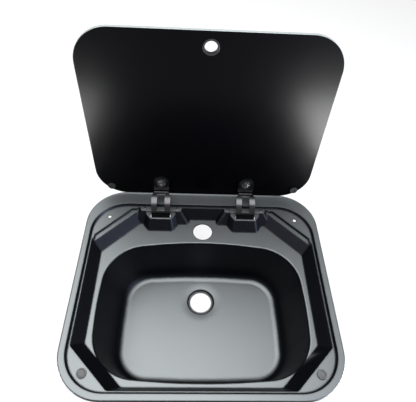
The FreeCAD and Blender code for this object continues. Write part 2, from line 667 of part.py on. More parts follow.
def shoulder_cut(x, side, split):
    """What is taken off one shoulder, so that the arm narrows from the fork to the plate."""
    half_plate = PLATE_WIDTH / 2
    past = ARM_HALF + 1
    rear = PIVOT_Y + ARM_OUTER_R
    neck_y = about_pin(ARM_OUTER_R, split, x).y
    fork_y = about_pin(ARM_OUTER_R, split + ARM_SHOULDER_ANGLE, x).y
    low = PIVOT_Z + ARM_INNER_R / 2
    corners = [(half_plate, rear), (past, rear), (past, fork_y), (ARM_HALF, fork_y), (half_plate, neck_y)]
    points = [V(x + side * px, py, low) for px, py in corners]
    face = Part.Face(Part.makePolygon(points + points[:1]))
    return face.extrude(V(0, 0, ARM_OUTER_R))


def hinge_bracket(x):
    """Folded bracket under the shelf: base, two ears that hold the pin, and the lip that stops the arm."""
    top = LEDGE_Z - SHEET
    base_z = top - BRACKET_SHEET
    base = block(x - BRACKET_HALF_WIDTH, x + BRACKET_HALF_WIDTH, BRACKET_FRONT_Y, BRACKET_REAR_Y, base_z, top)
    inner = ARM_HALF + ARM_CLEARANCE
    lip_rear = BRACKET_FRONT_Y + BRACKET_SHEET
    bracket = base.fuse(block(x - inner, x + inner, BRACKET_FRONT_Y, lip_rear, base_z - STOP_LIP, base_z))
    for side in (-1, 1):
        near, far = sorted((x + side * inner, x + side * (inner + BRACKET_SHEET)))
        profile = Part.makePolygon([
            V(near, BRACKET_FRONT_Y, base_z),
            V(near, PIVOT_Y, PIVOT_Z - BRACKET_EAR_R),
            V(near, PIVOT_Y, PIVOT_Z + BRACKET_EAR_R * math.cos(math.radians(OPEN_ANGLE / 3))),
            V(near, BRACKET_REAR_Y, base_z),
            V(near, BRACKET_FRONT_Y, base_z),
        ])
        bracket = bracket.fuse(Part.Face(profile).extrude(V(far - near, 0, 0)))
        bracket = bracket.fuse(rod(BRACKET_EAR_R, near, far))
        rivet_x = x + side * RIVET_HALF_SPAN
        bracket = bracket.cut(disc(RIVET_R, rivet_x, RIVET_Y, base_z - 1, top + 1))
    bracket = bracket.cut(rod(PIN_R + PIN_FIT, x - inner - ABOVE, x + inner + ABOVE))
    return bracket.removeSplitter()


def hinge_pin(x):
    """Headed pin with a groove for its clip."""
    ear = ARM_HALF + ARM_CLEARANCE + BRACKET_SHEET
    end = ear + PIN_CLIP + PIN_END
    pin = rod(PIN_R, x - ear, x + end).fuse(rod(PIN_HEAD_R, x - ear - PIN_HEAD, x - ear))
    groove = rod(PIN_R + 1, x + ear, x + ear + PIN_CLIP).cut(rod(PIN_GROOVE_R, x + ear - 1, x + end + 1))
    return pin.cut(groove).removeSplitter()


def pin_clip(x):
    """Open spring clip in the pin's groove."""
    ear = ARM_HALF + ARM_CLEARANCE + BRACKET_SHEET
    groove = rod(PIN_GROOVE_R, x + ear - 1, x + ear + PIN_CLIP + 1)
    clip = rod(PIN_CLIP_R, x + ear, x + ear + PIN_CLIP).cut(groove)
    mouth = PIN_CLIP_MOUTH / 2
    opening = block(x, x + 2 * ear, PIVOT_Y - mouth, PIVOT_Y + mouth, PIVOT_Z - PIN_CLIP_R - 1, PIVOT_Z)
    return clip.cut(opening)


def bracket_rivets(x):
    """Two rivets that hold the bracket to the shelf, with low round heads on top."""
    rivets = []
    low = LEDGE_Z - SHEET - BRACKET_SHEET
    for side in (-1, 1):
        centre = x + side * RIVET_HALF_SPAN
        head = disc(RIVET_HEAD_R, centre, RIVET_Y, LEDGE_Z, LEDGE_Z + RIVET_HEAD)
        head = head.makeFillet(RIVET_HEAD * 0.8, level_edges(head, LEDGE_Z + RIVET_HEAD))
        tail = disc(RIVET_HEAD_R, centre, RIVET_Y, low - RIVET_HEAD, low)
        shank = disc(RIVET_R - RIVET_FIT, centre, RIVET_Y, low - RIVET_HEAD, LEDGE_Z + RIVET_HEAD / 2)
        rivets.append(head.fuse([shank, tail]).removeSplitter())
    return Part.makeCompound(rivets)


# ---- fasteners of the glass ------------------------------------------------------------------------------
def bolt_grommet(x):
    """Top-hat rubber: a gasket on the glass and a sleeve through its hole."""
    gasket = disc(CAP_GASKET_R, x, BOLT_Y, GLASS_TOP_Z, GLASS_TOP_Z + CAP_GASKET)
    sleeve = disc(GLASS_BOLT_HOLE_R - FIT_GAP, x, BOLT_Y, GLASS_Z, GLASS_TOP_Z + CAP_GASKET)
    hole = disc(BOLT_R + BOLT_HOLE_CLEARANCE, x, BOLT_Y, GLASS_Z - 1, GLASS_TOP_Z + ABOVE)
    return gasket.fuse(sleeve).removeSplitter().cut(hole)


def plate_bolt(x):
    """Bolt with a broad low cap on the outside of the glass."""
    seat = GLASS_TOP_Z + CAP_GASKET
    cap = disc(CAP_R, x, BOLT_Y, seat, seat + CAP_HEIGHT)
    cap = cap.makeFillet(CAP_HEIGHT * 0.6, level_edges(cap, seat + CAP_HEIGHT))
    tip = PLATE_Z - WASHER_THICKNESS - NUT_HEIGHT - BOLT_TIP
    return cap.fuse(disc(BOLT_R, x, BOLT_Y, tip, seat)).removeSplitter()


def plate_washer(x):
    """Washer between the plate and its nut."""
    return ring(WASHER_R, BOLT_R + BOLT_HOLE_CLEARANCE, x, BOLT_Y, PLATE_Z - WASHER_THICKNESS, PLATE_Z)


def plate_nut(x):
    """Hexagonal nut under the plate, with rounded corners."""
    top = PLATE_Z - WASHER_THICKNESS
    corner_r = NUT_FLATS / math.sqrt(3)
    turns = [math.radians(60 * k) for k in range(7)]
    corners = [V(corner_r * math.cos(turn), corner_r * math.sin(turn), top - NUT_HEIGHT) for turn in turns]
    nut = Part.Face(Part.makePolygon(corners)).extrude(V(0, 0, NUT_HEIGHT)).translated(V(x, BOLT_Y, 0))
    round_r = (corner_r + NUT_FLATS / 2) / 2
    cone = Part.makeCone(round_r - FIT_GAP, round_r + NUT_HEIGHT, NUT_HEIGHT, V(x, BOLT_Y, top - NUT_HEIGHT))
    return nut.common(cone).cut(disc(BOLT_R + NUT_FIT, x, BOLT_Y, top - NUT_HEIGHT - 1, top + 1))


# ---- buffers ---------------------------------------------------------------------------------------------
def round_buffer(radius, x, y, bottom, top, exposed):
    """A flat rubber button with its exposed edge rounded."""
    button = disc(radius, x, y, bottom, top)
    return button.makeFillet(BUFFER_EDGE_R, level_edges(button, exposed))


def front_buffer(x):
    """Button on a front corner platform, with a stem and a barb under the sheet."""
    top = GLASS_Z - BUFFER_GAP
    button = round_buffer(BUFFER_R, x, -FRONT_HOLE_Y, LEDGE_Z, top, top)
    under = LEDGE_Z - SHEET
    stem = disc(FRONT_HOLE_R - FIT_GAP, x, -FRONT_HOLE_Y, under - BUFFER_STEM_LENGTH, LEDGE_Z + FIT_GAP)
    barb = Part.makeCone(FRONT_HOLE_R - FIT_GAP, BUFFER_BARB_R, BUFFER_STEM_LENGTH - FIT_GAP,
                         V(x, -FRONT_HOLE_Y, under - BUFFER_STEM_LENGTH))
    return button.fuse([stem, barb]).removeSplitter()


def lid_buffer(x):
    """Button on the underside of the glass, over a rear corner platform."""
    bottom = LEDGE_Z + BUFFER_GAP
    return round_buffer(LID_BUFFER_R, x, GLASS_REAR_Y - LID_BUFFER_FROM_REAR, bottom, GLASS_Z, bottom)


def main():
    """Writes one file for each piece."""
    os.makedirs("parts", exist_ok=True)
    pieces = {
        "sink_pressing": pressing(),
        "rim_seal": rim_seal(),
        "glass_lid": opened(glass()),
        "finger_ring": opened(finger_ring()),
    }
    for side, sign in SIDES.items():
        x = sign * HINGE_X
        pieces["hinge_arm_" + side] = hinge_arm(x)
        pieces["hinge_bracket_" + side] = hinge_bracket(x)
        pieces["hinge_pin_" + side] = hinge_pin(x)
        pieces["pin_clip_" + side] = pin_clip(x)
        pieces["bracket_rivets_" + side] = bracket_rivets(x)
        pieces["plate_pad_" + side] = opened(plate_slab(x, PLATE_TOP_Z, GLASS_Z))
        pieces["bolt_grommet_" + side] = opened(bolt_grommet(x))
        pieces["plate_bolt_" + side] = opened(plate_bolt(x))
        pieces["plate_washer_" + side] = opened(plate_washer(x))
        pieces["plate_nut_" + side] = opened(plate_nut(x))
        pieces["front_buffer_" + side] = front_buffer(sign * CORNER_HOLE_X)
        pieces["lid_buffer_" + side] = opened(lid_buffer(sign * LID_BUFFER_X))
    for name, shape in pieces.items():
        print(name, shape.isValid(), len(shape.Solids), round(shape.Volume, 1), len(shape.Faces))
        shape.exportStep("parts/%s.step" % name)


main()
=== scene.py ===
"""Studio scene of a black caravan sink whose glass lid stands open on its goose-neck hinges.

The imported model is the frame: every piece here takes its place from it, in metres, and rides on one of its
bodies. Each piece keeps its real shape and gets smooth shading and a finish of its own. The rubber buttons
also get a shallow cup, and one Geometry Nodes tree makes the crowns on the rivets, bolt tips and bolt caps.
"""
import json
import logging
import math
from dataclasses import dataclass, field
from enum import Enum
from typing import Any, Optional, Union

import bmesh
import bpy
from mathutils import Euler, Matrix, Vector

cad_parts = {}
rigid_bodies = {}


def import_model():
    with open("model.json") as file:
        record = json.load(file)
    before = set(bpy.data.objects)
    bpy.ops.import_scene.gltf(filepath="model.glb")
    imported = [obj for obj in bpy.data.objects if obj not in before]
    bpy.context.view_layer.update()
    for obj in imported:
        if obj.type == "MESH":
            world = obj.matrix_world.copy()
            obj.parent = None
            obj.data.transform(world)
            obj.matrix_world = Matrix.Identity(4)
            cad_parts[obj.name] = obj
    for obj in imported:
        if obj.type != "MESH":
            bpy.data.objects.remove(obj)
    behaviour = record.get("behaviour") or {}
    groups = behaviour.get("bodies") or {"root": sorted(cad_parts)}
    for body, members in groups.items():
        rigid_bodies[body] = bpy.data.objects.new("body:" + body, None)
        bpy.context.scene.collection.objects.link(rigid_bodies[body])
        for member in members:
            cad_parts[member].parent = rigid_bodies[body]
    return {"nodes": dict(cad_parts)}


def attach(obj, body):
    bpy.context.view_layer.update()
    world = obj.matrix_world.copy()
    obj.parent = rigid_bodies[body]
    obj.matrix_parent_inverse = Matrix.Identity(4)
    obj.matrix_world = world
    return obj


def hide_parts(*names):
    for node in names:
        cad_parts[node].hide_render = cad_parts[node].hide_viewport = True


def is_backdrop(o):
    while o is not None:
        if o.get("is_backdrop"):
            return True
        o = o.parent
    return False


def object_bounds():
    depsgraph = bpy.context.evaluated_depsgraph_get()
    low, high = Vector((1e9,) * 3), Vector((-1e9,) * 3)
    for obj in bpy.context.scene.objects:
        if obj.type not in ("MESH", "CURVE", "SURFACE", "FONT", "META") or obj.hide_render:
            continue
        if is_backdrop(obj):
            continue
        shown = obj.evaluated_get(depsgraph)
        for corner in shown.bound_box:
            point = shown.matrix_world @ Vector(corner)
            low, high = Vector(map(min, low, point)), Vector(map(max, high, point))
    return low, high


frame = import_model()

LOG = logging.getLogger("sink_scene")
Colour = tuple[float, float, float]
SIDES = ("left", "right")
END_DEPTH = 0.00005  # vertices this near the farthest one lie on the same end
OPEN_DEG = 94.3  # turn of the lid from shut to its open rest
UP = Vector((0.0, 0.0, 1.0))
LID_INWARD = Vector((0.0, -math.sin(math.radians(OPEN_DEG)), -math.cos(math.radians(OPEN_DEG))))


class Body(Enum):
    """The two moving bodies of the object."""

    SINK = "sink"
    LID = "lid"


# ---- shader and geometry graphs --------------------------------------------------------------------------
class Wire:
    """A socket that can be used in arithmetic; each operation adds a Math node to its tree."""

    def __init__(self, graph: "Graph", socket: bpy.types.NodeSocket) -> None:
        """Keeps the socket and the graph it belongs to."""
        self.graph = graph
        self.socket = socket

    def _math(self, operation: str, first: Any, second: Any) -> "Wire":
        """One Math node.

        Args:
            operation: the node's operation.
            first: a wire or a number.
            second: a wire or a number.

        Returns:
            The node's result.
        """
        return self.graph.wire("ShaderNodeMath", {"operation": operation}, {0: first, 1: second})

    def __add__(self, other: Any) -> "Wire":
        """Sum."""
        return self._math("ADD", self, other)

    def __radd__(self, other: Any) -> "Wire":
        """Sum, from the right."""
        return self._math("ADD", other, self)

    def __sub__(self, other: Any) -> "Wire":
        """Difference."""
        return self._math("SUBTRACT", self, other)

    def __rsub__(self, other: Any) -> "Wire":
        """Difference, from the right."""
        return self._math("SUBTRACT", other, self)

    def __mul__(self, other: Any) -> "Wire":
        """Product."""
        return self._math("MULTIPLY", self, other)

    def __rmul__(self, other: Any) -> "Wire":
        """Product, from the right."""
        return self._math("MULTIPLY", other, self)

    def __truediv__(self, other: Any) -> "Wire":
        """Quotient."""
        return self._math("DIVIDE", self, other)

    def __rtruediv__(self, other: Any) -> "Wire":
        """Quotient, from the right."""
        return self._math("DIVIDE", other, self)

    def __mod__(self, other: Any) -> "Wire":
        """Remainder."""
        return self._math("MODULO", self, other)

    def __pow__(self, other: Any) -> "Wire":
        """Power."""
        return self._math("POWER", self, other)

    def least(self, other: Any) -> "Wire":
        """The smaller of two values."""
        return self._math("MINIMUM", self, other)

    def most(self, other: Any) -> "Wire":
        """The larger of two values."""
        return self._math("MAXIMUM", self, other)

    def floor(self) -> "Wire":
        """The whole number below."""
        return self._math("FLOOR", self, 0.0)

    def cosine(self) -> "Wire":
        """Cosine of an angle in radians."""
        return self._math("COSINE", self, 0.0)

    def sine(self) -> "Wire":
        """Sine of an angle in radians."""
        return self._math("SINE", self, 0.0)


class Graph:
    """Adds nodes to one node tree."""

    def __init__(self, tree: bpy.types.NodeTree) -> None:
        """Keeps the tree that the nodes go into."""
        self.tree = tree

    def node(self, kind: str, settings: Optional[dict] = None,
             sockets: Optional[dict] = None) -> bpy.types.Node:
        """Any node, with its settings made before its sockets are filled.

        Args:
            kind: the node's type.
            settings: attributes of the node, such as a Math node's operation.
            sockets: values or wires for its inputs, by name or number.

        Returns:
            The node.
        """
        made = self.tree.nodes.new(kind)
        for name, value in (settings or {}).items():
            setattr(made, name, value)
        for key, value in (sockets or {}).items():
            if isinstance(value, Wire):
                self.tree.links.new(value.socket, made.inputs[key])
            else:
                made.inputs[key].default_value = value
        return made

    def wire(self, kind: str, settings: Optional[dict] = None, sockets: Optional[dict] = None,
             output: Union[int, str] = 0) -> Wire:
        """The same as node, and gives one of its outputs as a wire.

        Args:
            kind: the node's type.
            settings: as for node.
            sockets: as for node.
            output: name or number of the output.

        Returns:
            That output.
        """
        return Wire(self, self.node(kind, settings, sockets).outputs[output])


# ---- finishes --------------------------------------------------------------------------------------------
@dataclass(frozen=True)
class Finish:
    """A procedural finish: two tints that drift into each other, uneven gloss and a fine surface texture.

    Lengths are in metres, so grain_size is the real size of the finest marks.
    """

    name: str
    tint: Colour
    tint_low: Colour
    roughness: float
    metallic: float = 0.0
    specular: float = 0.5
    roughness_drift: float = 0.06
    drift_size: float = 0.03
    grain_size: float = 0.0008
    grain_depth: float = 0.00002

    def material(self) -> bpy.types.Material:
        """Builds the material.

        Returns:
            The new material.
        """
        made = bpy.data.materials.new(self.name)
        made.use_nodes = True
        made.diffuse_color = (*self.tint, 1.0)
        made.node_tree.nodes.clear()
        graph = Graph(made.node_tree)
        place = graph.wire("ShaderNodeTexCoord", output="Object")
        shader = self._shader(graph, place)
        graph.node("ShaderNodeOutputMaterial", None, {"Surface": shader})
        return made

    def _drift(self, graph: Graph, place: Wire) -> Wire:
        """Slow change over the surface, from 0 to 1."""
        return graph.wire("ShaderNodeTexNoise", None, {
            "Vector": place, "Scale": 1.0 / self.drift_size, "Detail": 3.0, "Roughness": 0.55})

    def _grain(self, graph: Graph, place: Wire) -> Wire:
        """Finest marks of the surface, from 0 to 1."""
        return graph.wire("ShaderNodeTexNoise", None, {
            "Vector": place, "Scale": 1.0 / self.grain_size, "Detail": 2.0, "Roughness": 0.6})

    def _shader(self, graph: Graph, place: Wire) -> Wire:
        """The surface shader.

        Args:
            graph: the material's graph.
            place: the point on the object.

        Returns:
            The shader's output.
        """
        drift = self._drift(graph, place)
        grain = self._grain(graph, place)
        colour = self._colour(graph, drift)
        gloss = self.roughness + (drift - 0.5) * self.roughness_drift + (grain - 0.5) * self.roughness_drift
        bump = graph.wire("ShaderNodeBump", None, {
            "Height": grain, "Strength": 1.0, "Distance": self.grain_depth})
        return graph.wire("ShaderNodeBsdfPrincipled", None, {
            "Base Color": colour, "Roughness": gloss, "Normal": bump, "Metallic": self.metallic,
            "Specular IOR Level": self.specular})

    def _colour(self, graph: Graph, drift: Wire) -> Wire:
        """The two tints, drifting into each other."""
        return graph.wire("ShaderNodeMix", {"data_type": "RGBA"}, {
            0: drift, 6: (*self.tint_low, 1.0), 7: (*self.tint, 1.0)}, output=2)


@dataclass(frozen=True)
class PressedFinishWithPaintedShade(Finish):
    """Coating of the pressing with painted shade: its reflecting colour is full on level areas and sinks into
    black on steep walls.
    """

    # painted shade: the dark colour that steep walls sink into
    painted_shade_tint: Colour = (0.015, 0.016, 0.020)
    steep_below: float = 0.78
    level_above: float = 0.985
    bend: float = 0.0035
    bend_samples: int = 6

    def _base_normal(self, graph: Graph) -> Wire:
        """The surface's own normal, rounded over the pressing's tight bends."""
        return graph.wire("ShaderNodeBevel", {"samples": self.bend_samples}, {"Radius": self.bend})

    def _colour(self, graph: Graph, drift: Wire) -> Wire:
        """The drifting tints, darkened as painted shade by how steep the wall is.

        Args:
            graph: the material's graph.
            drift: slow change over the surface.

        Returns:
            The base colour.
        """
        level_tint = super()._colour(graph, drift)
        # painted shade: the colour sinks towards black as the wall gets steeper
        upright = graph.wire("ShaderNodeVectorMath", {"operation": "DOT_PRODUCT"}, {
            0: self._base_normal(graph), 1: tuple(UP)}, output="Value")
        flatness = upright.most(-1.0 * upright)
        level = graph.wire("ShaderNodeMapRange", {"interpolation_type": "SMOOTHSTEP"}, {
            "Value": flatness, "From Min": self.steep_below, "From Max": self.level_above})
        return graph.wire("ShaderNodeMix", {"data_type": "RGBA"}, {
            0: level, 6: (*self.painted_shade_tint, 1.0), 7: level_tint}, output=2)


# the sink's coating carries painted shade on its steep walls
SINK_STEEL = PressedFinishWithPaintedShade("sink_coating_painted_shade", (0.18, 0.194, 0.199), (0.163, 0.176, 0.181), 0.48, metallic=1.0,
                           grain_size=0.0006, grain_depth=0.000004)
HINGE_STEEL = Finish("hinge_coating", (0.09, 0.09, 0.093), (0.065, 0.065, 0.068), 0.23, metallic=1.0,
                     grain_size=0.0005, grain_depth=0.000008)
BRACKET_STEEL = Finish("bracket_coating", (0.10, 0.10, 0.10), (0.07, 0.07, 0.07), 0.4, metallic=1.0)
NUT_STEEL = Finish("nut_coating", (0.40, 0.40, 0.40), (0.30, 0.30, 0.30), 0.2, metallic=1.0,
                   grain_size=0.0005)
RIVET_STEEL = Finish("rivet_coating", (0.14, 0.14, 0.145), (0.1, 0.1, 0.1), 0.3, metallic=1.0)
PIN_STEEL = Finish("pin_steel", (0.55, 0.55, 0.54), (0.45, 0.45, 0.45), 0.3, metallic=1.0)
INNER_ENAMEL = Finish("lid_inner_enamel", (0.0008, 0.0008, 0.0012), (0.0006, 0.0006, 0.0008), 0.22,
                      specular=0.045, drift_size=0.08, grain_size=0.0009, grain_depth=0.000003)
OUTER_GLASS = Finish("lid_outer_glass", (0.006, 0.006, 0.007), (0.005, 0.005, 0.006), 0.05,
                     roughness_drift=0.02, grain_depth=0.0000002)
GROUND_EDGE = Finish("lid_ground_edge", (0.34, 0.37, 0.37), (0.26, 0.29, 0.29), 0.45,
                     grain_size=0.0004, grain_depth=0.00002)
RING_PLASTIC = Finish("ring_plastic", (0.012, 0.012, 0.013), (0.008, 0.008, 0.009), 0.3, specular=0.2)
BUFFER_RUBBER = Finish("buffer_rubber", (0.09, 0.09, 0.09), (0.06, 0.06, 0.06), 0.5, roughness_drift=0.12)
BLACK_RUBBER = Finish("black_rubber", (0.009, 0.009, 0.009), (0.006, 0.006, 0.006), 0.6, specular=0.2,
                      roughness_drift=0.15)
SEAL_FOAM = Finish("seal_foam", (0.03, 0.03, 0.032), (0.015, 0.015, 0.015), 0.9, grain_size=0.0007,
                   grain_depth=0.0002)


# ---- pieces ----------------------------------------------------------------------------------------------
def add_piece(name: str, mesh: bpy.types.Mesh, body: Body) -> bpy.types.Object:
    """Puts a finished mesh in the scene as a piece of the object.

    Args:
        name: the piece's name.
        mesh: its mesh, in the row's frame.
        body: the body that it rides on.

    Returns:
        The new object.
    """
    piece = bpy.data.objects.new(name, mesh)
    bpy.context.scene.collection.objects.link(piece)
    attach(piece, body.value)
    LOG.info("%s: %d faces on %s", name, len(mesh.polygons), body.value)
    return piece


class FlatLedShading:
    """Corner normals of a pressed or machined part, led by the largest flat that meets each corner.

    Flats stay flat up to their very edges, fillets run smoothly from one flat to the next, and only edges
    sharper than the crease stay sharp.
    """

    SAME_FLAT_DEG = 0.4
    LEADING_AREA = 6e-5

    def __init__(self, work: bmesh.types.BMesh, crease_deg: float) -> None:
        """Marks the sharp edges and finds the flats.

        Args:
            work: the merged mesh.
            crease_deg: turn of the surface, in degrees, past which an edge is sharp.
        """
        self.work = work
        self.crease = math.cos(math.radians(crease_deg))
        self.flat_of: dict[int, int] = {}
        self.leads: list[float] = []
        work.normal_update()
        work.faces.index_update()
        work.verts.index_update()
        for edge in work.edges:
            edge.smooth = edge.is_manifold and math.cos(edge.calc_face_angle()) > self.crease
        for face in work.faces:
            if face.index not in self.flat_of:
                self._gather_flat(face)

    def _gather_flat(self, seed: bmesh.types.BMFace) -> None:
        """Collects the faces that lie in one plane with a face, and how strongly they lead.

        Args:
            seed: the first face of the flat.
        """
        number = len(self.leads)
        level = math.cos(math.radians(self.SAME_FLAT_DEG))
        self.flat_of[seed.index] = number
        waiting, area = [seed], 0.0
        while waiting:
            face = waiting.pop()
            area += face.calc_area()
            for other in {near for edge in face.edges for near in edge.link_faces}:
                if other.index not in self.flat_of and other.normal.dot(seed.normal) > level:
                    self.flat_of[other.index] = number
                    waiting.append(other)
        self.leads.append(1.0 + (area / self.LEADING_AREA) ** 2)

    def corner_normals(self) -> list[Vector]:
        """Works out the normal of every corner.

        Returns:
            One unit vector for each corner, in the order of the faces and their corners.
        """
        chosen: dict[tuple[int, int], Vector] = {}
        for vertex in self.work.verts:
            left = {loop.face.index: loop for loop in vertex.link_loops}
            while left:
                fan = self._fan(left)
                pull = sum((self._pull(loop) for loop in fan), Vector())
                normal = pull.normalized() if pull.length > 0.0 else vertex.normal.copy()
                for loop in fan:
                    own = loop.face.normal
                    chosen[loop.face.index, vertex.index] = normal if normal.dot(own) > self.crease else own
        return [chosen[face.index, loop.vert.index] for face in self.work.faces for loop in face.loops]

    def _pull(self, loop: bmesh.types.BMLoop) -> Vector:
        """How strongly, and where to, one corner turns the shared normal."""
        return loop.face.normal * loop.calc_angle() * self.leads[self.flat_of[loop.face.index]]

    @staticmethod
    def _fan(left: dict[int, bmesh.types.BMLoop]) -> list[bmesh.types.BMLoop]:
        """Takes one smooth fan of corners round a vertex out of those that are left.

        Args:
            left: the vertex's corners by the number of their face; the fan's are taken out.

        Returns:
            The fan's corners.
        """
        fan = [left.popitem()[1]]
        for loop in fan:
            for edge in (loop.edge, loop.link_loop_prev.edge):
                joined = edge.link_faces if edge.smooth else ()
                fan.extend(left.pop(face.index) for face in joined if face.index in left)
        return fan


@dataclass
class DressedNode:
    """A node that keeps its exact shape and gets smooth shading and a finish."""

    node: str
    body: Body
    slot: str
    finish: bpy.types.Material
    crease_deg: float = 28.0
    merge: float = 2e-6

    def mesh(self) -> bpy.types.Mesh:
        """Makes a merged copy of the node's mesh, smooth except along its creases.

        Returns:
            The copy, with its finish.
        """
        copy = frame["nodes"][self.node].data.copy()
        copy.name = "dressed_" + self.node
        work = bmesh.new()
        work.from_mesh(copy)
        bmesh.ops.remove_doubles(work, verts=work.verts, dist=self.merge)
        bmesh.ops.dissolve_degenerate(work, edges=work.edges, dist=self.merge)
        self._detail(work)
        normals = FlatLedShading(work, self.crease_deg).corner_normals()
        for face in work.faces:
            face.smooth = True
        work.to_mesh(copy)
        work.free()
        copy.normals_split_custom_set(normals)
        copy.materials.clear()
        copy.materials.append(self.finish)
        return copy

    def _detail(self, work: bmesh.types.BMesh) -> None:
        """Extra form on the copy; most nodes have all of theirs already."""

    def build(self) -> bpy.types.Object:
        """Adds the dressed piece in place of the bare node.

        Returns:
            The new piece.
        """
        piece = add_piece("dressed_" + self.node, self.mesh(), self.body)
        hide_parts(self.node)
        return piece


@dataclass
class GlassLid(DressedNode):
    """The glass panel: enamelled inside, polished outside, ground along its edges."""

    outer_finish: Optional[bpy.types.Material] = None
    edge_finish: Optional[bpy.types.Material] = None
    flatness: float = 0.995

    def mesh(self) -> bpy.types.Mesh:
        """Makes the panel, with one material for each face and one for all its edges.

        Returns:
            The panel's mesh.
        """
        panel = super().mesh()
        panel.materials.append(self.outer_finish)
        panel.materials.append(self.edge_finish)
        for face in panel.polygons:
            facing = face.normal.dot(LID_INWARD)
            face.material_index = 0 if facing > self.flatness else 1 if facing < -self.flatness else 2
        return panel


@dataclass
class CuppedButton(DressedNode):
    """A rubber button with a shallow moulded cup in its free face."""

    facing: Vector = field(default_factory=UP.copy)
    rim: float = 0.0009
    depth: float = 0.0009
    flatness: float = 0.999
    face_depth: float = 2e-5

    def _detail(self, work: bmesh.types.BMesh) -> None:
        """Insets the free face and sinks what is left of it.

        Args:
            work: the node's mesh.
        """
        farthest = max(vertex.co.dot(self.facing) for vertex in work.verts)
        free = [face for face in work.faces if face.normal.dot(self.facing) > self.flatness
                and face.calc_center_median().dot(self.facing) > farthest - self.face_depth]
        bmesh.ops.inset_region(work, faces=free, thickness=self.rim, use_even_offset=True)
        bmesh.ops.inset_region(work, faces=free, thickness=self.depth, depth=-self.depth,
                               use_even_offset=True)


# ---- turned heads by Geometry Nodes ------------------------------------------------------------------------
def end_centre(node: str, facing: Vector, half: int = 0) -> Vector:
    """Middle of the end that a node, or its left or right half, turns towards a direction.

    Args:
        node: the node.
        facing: the direction.
        half: -1 for the vertices on its left, 1 for those on its right, 0 for all.

    Returns:
        The middle of the vertices that lie farthest along the direction.
    """
    places = [vertex.co for vertex in frame["nodes"][node].data.vertices]
    middle = (min(place.x for place in places) + max(place.x for place in places)) / 2.0
    kept = [place for place in places if half == 0 or (place.x - middle) * half > 0.0]
    farthest = max(place.dot(facing) for place in kept)
    end = [place for place in kept if place.dot(facing) > farthest - END_DEPTH]
    return sum(end, Vector()) / len(end)


class HeadTree:
    """Geometry Nodes tree that turns a crowned round head and sets one on each point.

    A head's dimple reaches out to its radius over DIMPLE_NARROWING; points nearer than SEAM become one.
    """

    COLUMNS = 49
    ROWS = 12
    DIMPLE_NARROWING = 2.2
    SEAM = 1e-7

    def __init__(self) -> None:
        """Builds the tree once; every set of heads uses it with its own sizes."""
        self.tree = bpy.data.node_groups.new("turned_heads", "GeometryNodeTree")
        face = self.tree.interface
        face.new_socket("Points", in_out="INPUT", socket_type="NodeSocketGeometry")
        self.ids: dict[str, str] = {}
        for name, kind in (("Radius", "NodeSocketFloat"), ("Height", "NodeSocketFloat"),
                           ("Squareness", "NodeSocketFloat"), ("Dimple", "NodeSocketFloat"),
                           ("Turn", "NodeSocketVector"), ("Finish", "NodeSocketMaterial")):
            self.ids[name] = face.new_socket(name, in_out="INPUT", socket_type=kind).identifier
        face.new_socket("Heads", in_out="OUTPUT", socket_type="NodeSocketGeometry")
        self._build()

    def _build(self) -> None:
        """Lays the nodes out: a grid bent round into a head, then one head on each point."""
        graph = Graph(self.tree)
        given = graph.node("NodeGroupInput")
        size = {name: Wire(graph, given.outputs[name]) for name in self.ids}
        grid = graph.wire("GeometryNodeMeshGrid", None, {
            "Vertices X": self.COLUMNS, "Vertices Y": self.ROWS}, output="Mesh")
        index = graph.wire("GeometryNodeInputIndex")
        row = index % self.ROWS
        column = (index / self.ROWS).floor()
        around = column * (2.0 * math.pi / (self.COLUMNS - 1))
        up = (row - 1.0).most(0.0) * (0.5 * math.pi / (self.ROWS - 2))
        power = 2.0 / size["Squareness"]
        across = (up.cosine().most(0.0) ** power) * row.least(1.0)
        crown = up.sine() ** power
        radius = size["Radius"] * across
        sink = size["Dimple"] * (1.0 - (across * self.DIMPLE_NARROWING).least(1.0)) * row.least(1.0)
        place = graph.wire("ShaderNodeCombineXYZ", None, {
            "X": radius * around.cosine(), "Y": radius * around.sine(), "Z": size["Height"] * crown - sink})
        bent = graph.wire("GeometryNodeSetPosition", None, {"Geometry": grid, "Position": place})
        closed = graph.wire("GeometryNodeMergeByDistance", None, {"Geometry": bent, "Distance": self.SEAM})
        turn = graph.wire("FunctionNodeEulerToRotation", None, {0: size["Turn"]})
        heads = graph.wire("GeometryNodeInstanceOnPoints", None, {
            "Points": Wire(graph, given.outputs["Points"]), "Instance": closed, "Rotation": turn})
        real = graph.wire("GeometryNodeRealizeInstances", None, {0: heads})
        painted = graph.wire("GeometryNodeSetMaterial", None, {"Geometry": real, "Material": size["Finish"]})
        graph.node("NodeGroupOutput", None, {0: painted})


